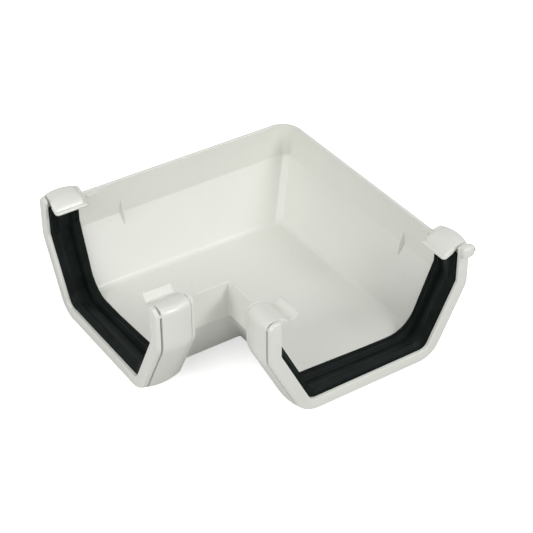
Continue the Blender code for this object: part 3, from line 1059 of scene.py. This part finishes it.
def seal_mesh(side):
    leg = LEGS[side]
    base = BORE.grown(RECESS - SEAL_CLEAR)
    outside = [[Vector((base.half, top))] + base.side(top) for top in SEAL_TOPS]
    buried = outside[0] + other_side(outside[1])[::-1]
    rings = []
    for depth, height in SEAL_PROFILE:
        faces = [seal_face(depth, height, sign) for sign in (1, -1)]
        inside = [[Vector((f.half, top))] + f.side(top) for f, top in zip(faces, SEAL_TOPS)]
        shown = other_side(inside[1]) + inside[0][::-1]
        ring = [leg(SEAT_FRONT - SEAL_CLEAR - depth, *p) for p in buried]
        rings.append(ring + [leg(seal_place(depth, *p), *p) for p in shown])
    return keep_mesh("seal_" + side, skinned(rings))


for side in LEGS:
    seal = dress(put("seal_" + side + "_band", seal_mesh(side)), "black_rubber")
    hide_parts("seal_" + side)

# %% [markdown]
# ## Ridges on the seal
#
# The gutter seals against several fine ridges that follow the whole U, most of them between
# the groove and the rear rib. Each is drawn as a line lying on the rubber. The tree turns the
# lines into curves and sweeps a small circle along them, so half of each tube stands proud.

# %% Sweep the ridges
RIDGES = (9.5, 11.5, 14.2, 15.2)
RIDGE_SHORT, RIDGE_SIDES = 0.4, 8
RIDGE_SIZES = {"Ridge Radius": 0.24}


def seal_height(depth):
    """The rubber's height above the bore at a depth behind its front."""
    for (d0, h0), (d1, h1) in zip(SEAL_PROFILE, SEAL_PROFILE[1:]):
        if depth <= d1:
            return h0 + (h1 - h0) * (depth - d0) / (d1 - d0)


def ridge_lines():
    mesh = bmesh.new()
    for depth in RIDGES:
        halves = []
        for side, top in zip((1, -1), SEAL_TOPS):
            face = seal_face(depth, seal_height(depth), side)
            halves.append([Vector((face.half, top - RIDGE_SHORT))] + face.side(0.0))
        line = halves[0] + other_side(halves[1])[::-1]
        points = [mesh.verts.new((seal_place(depth, *p), *p)) for p in line]
        for first, second in zip(points, points[1:]):
            mesh.edges.new((first, second))
    return keep_mesh("ridge_lines", mesh)


def sweep_ridges(board, entry, size):
    circle = board.add("GeometryNodeCurvePrimitiveCircle", None, {
        "Resolution": RIDGE_SIDES, "Radius": size["Ridge Radius"]})
    lines = board.add("GeometryNodeMeshToCurve", None, {0: entry})
    return board.add("GeometryNodeCurveToMesh", None, {
        "Curve": lines, "Profile Curve": circle, "Fill Caps": True})


ridge_tree = both_legs_tree("ridges_on_both_seals", RIDGE_SIZES, RUBBER, sweep_ridges)
dress(settle("seal_ridges", ridge_lines(), ridge_tree, RIDGE_SIZES), "black_rubber")
print(len(RIDGES), "ridges on each seal")

# %% [markdown]
# ## Floor, backdrop and light
#
# The photograph stands on pure white. A large pale floor runs on behind the object, and the
# world is pale too. To the camera, and in reflections, the world is plain white. The floor
# gets a little glow that only the camera sees, and past arm's length from the object it fades
# to the world's white, so that no horizon shows and the shadow stays. The light on the object
# comes from soft lamps: two from the left, a strong one in front, a key from the right, one
# overhead and a weak one low in front, over a weak fill. None stands at the camera, so thin
# gaps and the stop ribs keep their dark sides.

# %% Floor
FLOOR_HALF, FLOOR_DROP, GLOW = 6.0, 0.00002, 0.6
FADE_FROM, FADE_TO = 0.45, 1.1
PAPER_SCALE, PAPER_ROUGH = 6.0, 0.5
PAPER_DEEP, PAPER_PALE = (0.78, 0.78, 0.78, 1.0), (0.80, 0.80, 0.80, 1.0)
WHITE_LIGHT = (1.0, 1.0, 1.0, 1.0)


def make_paper():
    """Pale paper that the camera sees a little brighter, and white far away."""
    made, board = new_board("pale_floor")
    place = object_place(board)
    plain = mix_colour(board, noise(board, place, PAPER_SCALE), PAPER_DEEP, PAPER_PALE)
    paper = board.add("ShaderNodeBsdfDiffuse", None, {"Color": plain, "Roughness": PAPER_ROUGH})
    bright = board.add("ShaderNodeBsdfDiffuse", None, {
        "Color": WHITE_LIGHT, "Roughness": PAPER_ROUGH})
    glow = board.add("ShaderNodeEmission", None, {"Color": WHITE_LIGHT, "Strength": GLOW})
    shown = board.add("ShaderNodeAddShader", None, {0: bright, 1: glow})
    away = board.add("ShaderNodeVectorMath", {"operation": "LENGTH"}, {0: place}).output("Value")
    white = board.add("ShaderNodeEmission", None, {"Color": WHITE_LIGHT, "Strength": 1.0})
    faded = board.add("ShaderNodeMixShader", None, {
        0: away.between(FADE_FROM, FADE_TO), 1: shown, 2: white})
    seen = board.add("ShaderNodeLightPath").output("Is Camera Ray")
    both = board.add("ShaderNodeMixShader", None, {0: seen, 1: paper, 2: faded})
    board.add("ShaderNodeOutputMaterial", None, {"Surface": both})
    return made


def floor_mesh():
    mesh = bmesh.new()
    corners = [(x * FLOOR_HALF, y * FLOOR_HALF) for x, y in ((-1, -1), (1, -1), (1, 1), (-1, 1))]
    mesh.faces.new([mesh.verts.new((x, y, LOW.z - FLOOR_DROP)) for x, y in corners])
    return keep_mesh("floor", mesh)


floor = put("floor", floor_mesh())
floor.data.materials.append(make_paper())
print("The floor lies at z =", round(LOW.z, 5))

# %% World and lamps
FILL = 0.32
LAMP_AIM, LAMP_SIZE = Vector((0.0, 0.0, 0.03)), 0.5
LAMPS = {
    "key": ((0.9, -0.9, 1.3), 3.4), "left": ((-1.5, -0.1, 0.6), 6.4),
    "left_of_camera": ((-1.2, -0.7, 0.9), 2.5), "overhead": ((0.0, 0.0, 1.6), 2.8),
    "front": ((0.4, -1.5, 0.9), 8.7), "front_low": ((-0.3, -1.5, 0.35), 0.4),
}


def make_world():
    world = bpy.data.worlds.new("studio")
    bpy.context.scene.world = world
    world.use_nodes = True
    board = Board(world.node_tree)
    path = board.add("ShaderNodeLightPath")
    seen = path.output("Is Camera Ray")
    for ray in ("Is Glossy Ray", "Is Transmission Ray"):
        seen = seen.maths("MAXIMUM", seen, path.output(ray))
    white = board.add("ShaderNodeBackground", None, {"Color": WHITE_LIGHT, "Strength": 1.0})
    fill = board.add("ShaderNodeBackground", None, {"Color": WHITE_LIGHT, "Strength": FILL})
    both = board.add("ShaderNodeMixShader", None, {0: seen, 1: fill, 2: white})
    board.add("ShaderNodeOutputWorld", None, {"Surface": both})


def hang_lamp(name, place, power):
    """A square soft lamp that looks at the object."""
    data = bpy.data.lights.new(name, "AREA")
    data.shape = "RECTANGLE"
    data.size = data.size_y = LAMP_SIZE
    data.energy = power
    made = put(name, data)
    made.location = place
    made.rotation_euler = (LAMP_AIM - Vector(place)).to_track_quat("-Z", "Y").to_euler()


make_world()
for name, (place, power) in LAMPS.items():
    hang_lamp(name, place, power)
bpy.context.scene.view_settings.view_transform = "Standard"
print(len(LAMPS), "lamps are lit")
